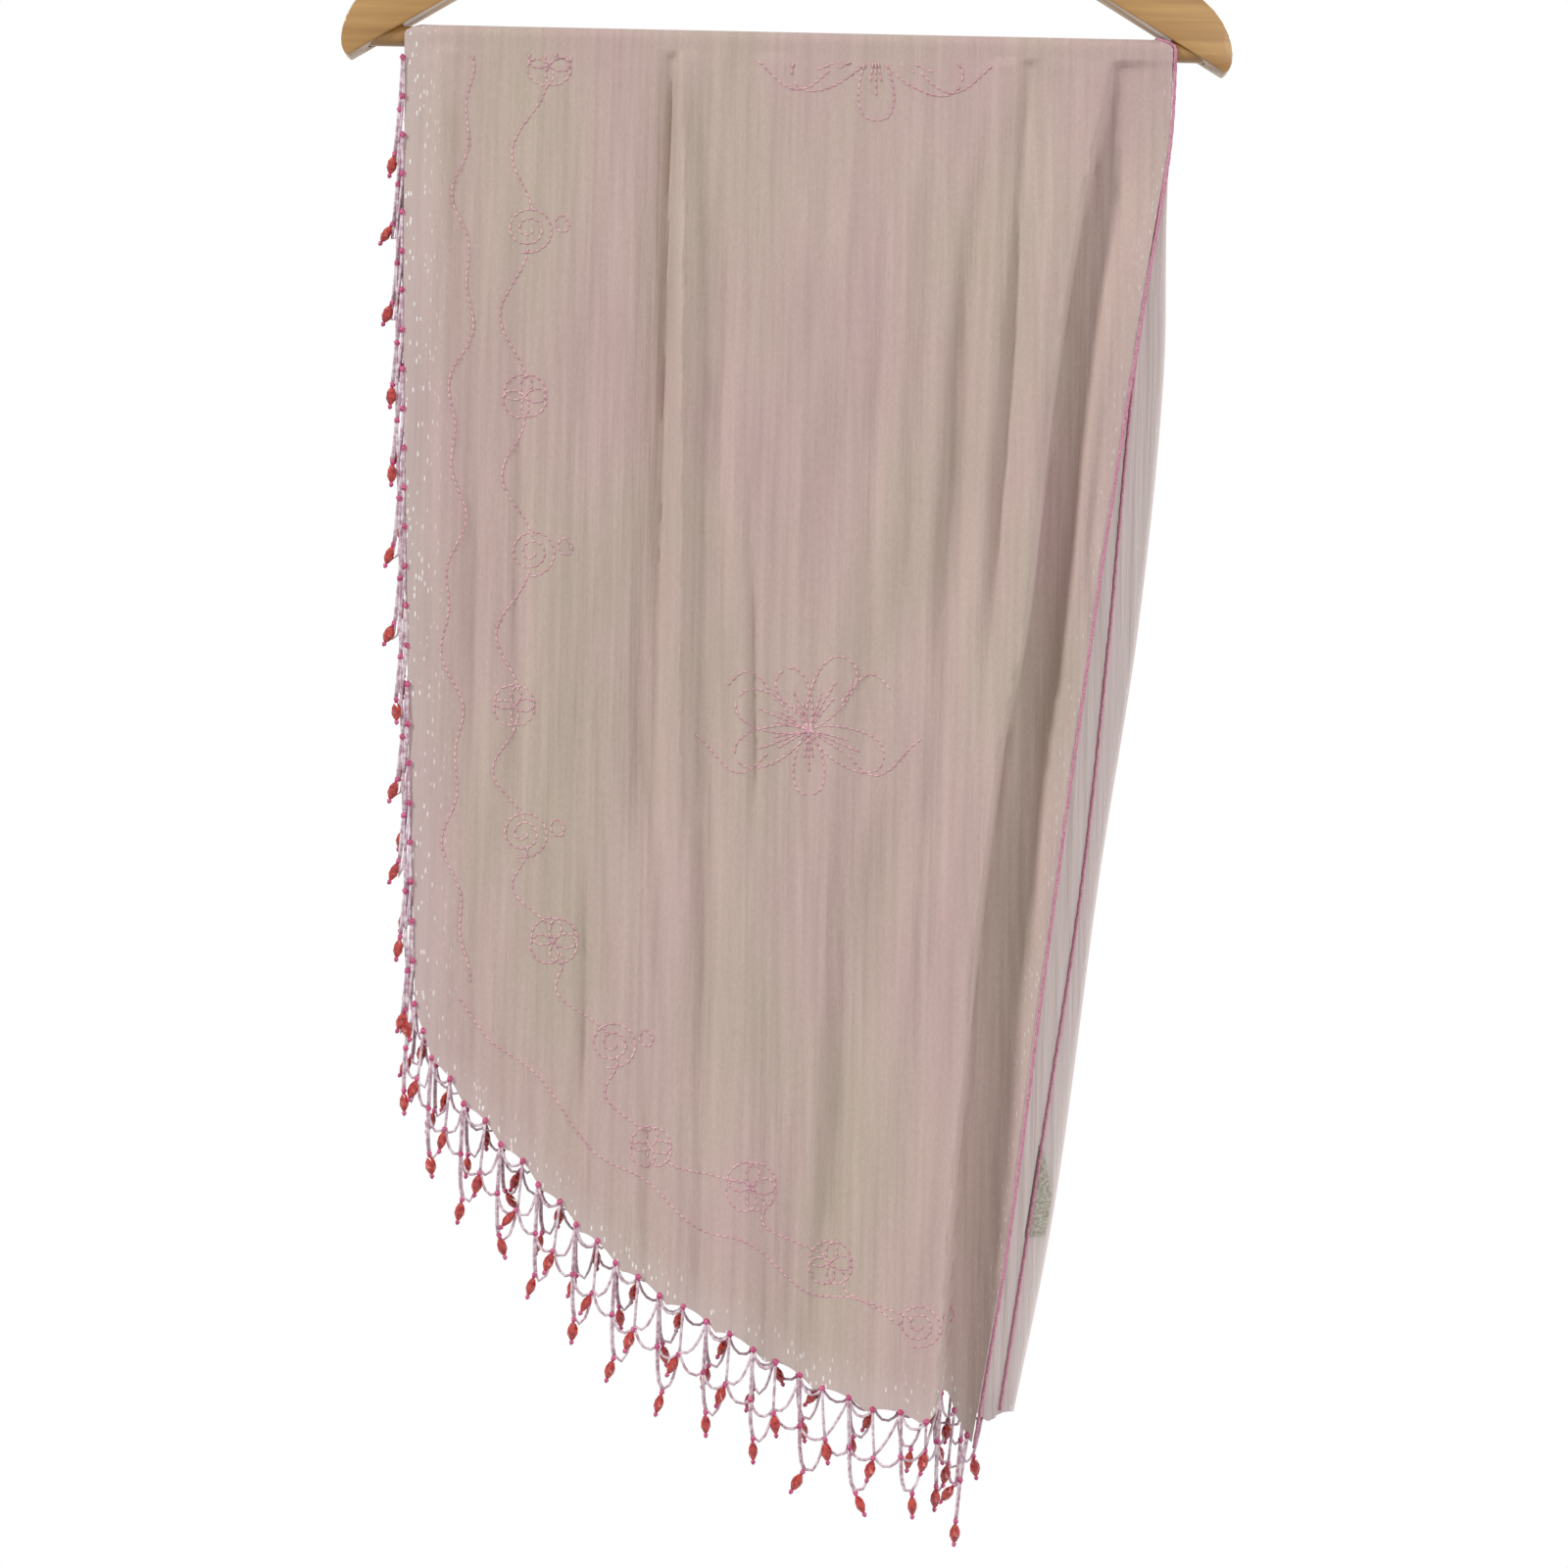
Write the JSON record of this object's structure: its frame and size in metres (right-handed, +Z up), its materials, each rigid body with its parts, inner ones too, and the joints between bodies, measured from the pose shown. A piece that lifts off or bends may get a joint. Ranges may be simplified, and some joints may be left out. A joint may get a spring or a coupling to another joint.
{
  "type": "sarong on a wooden clothes hanger",
  "caption": "Short crinkled voile sarong with a netted, beaded fringe, folded in half over the trouser bar of a wooden hanger.",
  "frame": {"origin": "where the hook bears on a rail: the underside of the wire at the hook's crown", "axes": "+Z up, +X to the wearer's side with the rolled waist hem, front of the garment towards -Y"},
  "size_m": [0.4434, 0.0427, 0.9183],
  "materials": {
    "wood": "clear satin varnish on honey-coloured wood",
    "steel": "plain bright wire",
    "voile": "soft crinkled voile with a pale metallic thread near its edges",
    "hem_thread": "tight rolled hem in rosy thread",
    "fringe": "twisted thread net with glass bead drops",
    "beads": "faceted ruby beads, bright",
    "label": "blank woven label"
  },
  "bodies": {
    "root": {"hanger_arms": "wood", "hanger_bar": "wood", "hanger_hook": "steel", "cloth_front_fall": "voile", "cloth_over_bar": "voile", "cloth_back_fall": "voile", "waist_hem_front": "hem_thread", "waist_hem_over_bar": "hem_thread", "waist_hem_back": "hem_thread", "fringe_front": "fringe", "fringe_back": "fringe", "care_label": "label"}
  },
  "joints": []
}
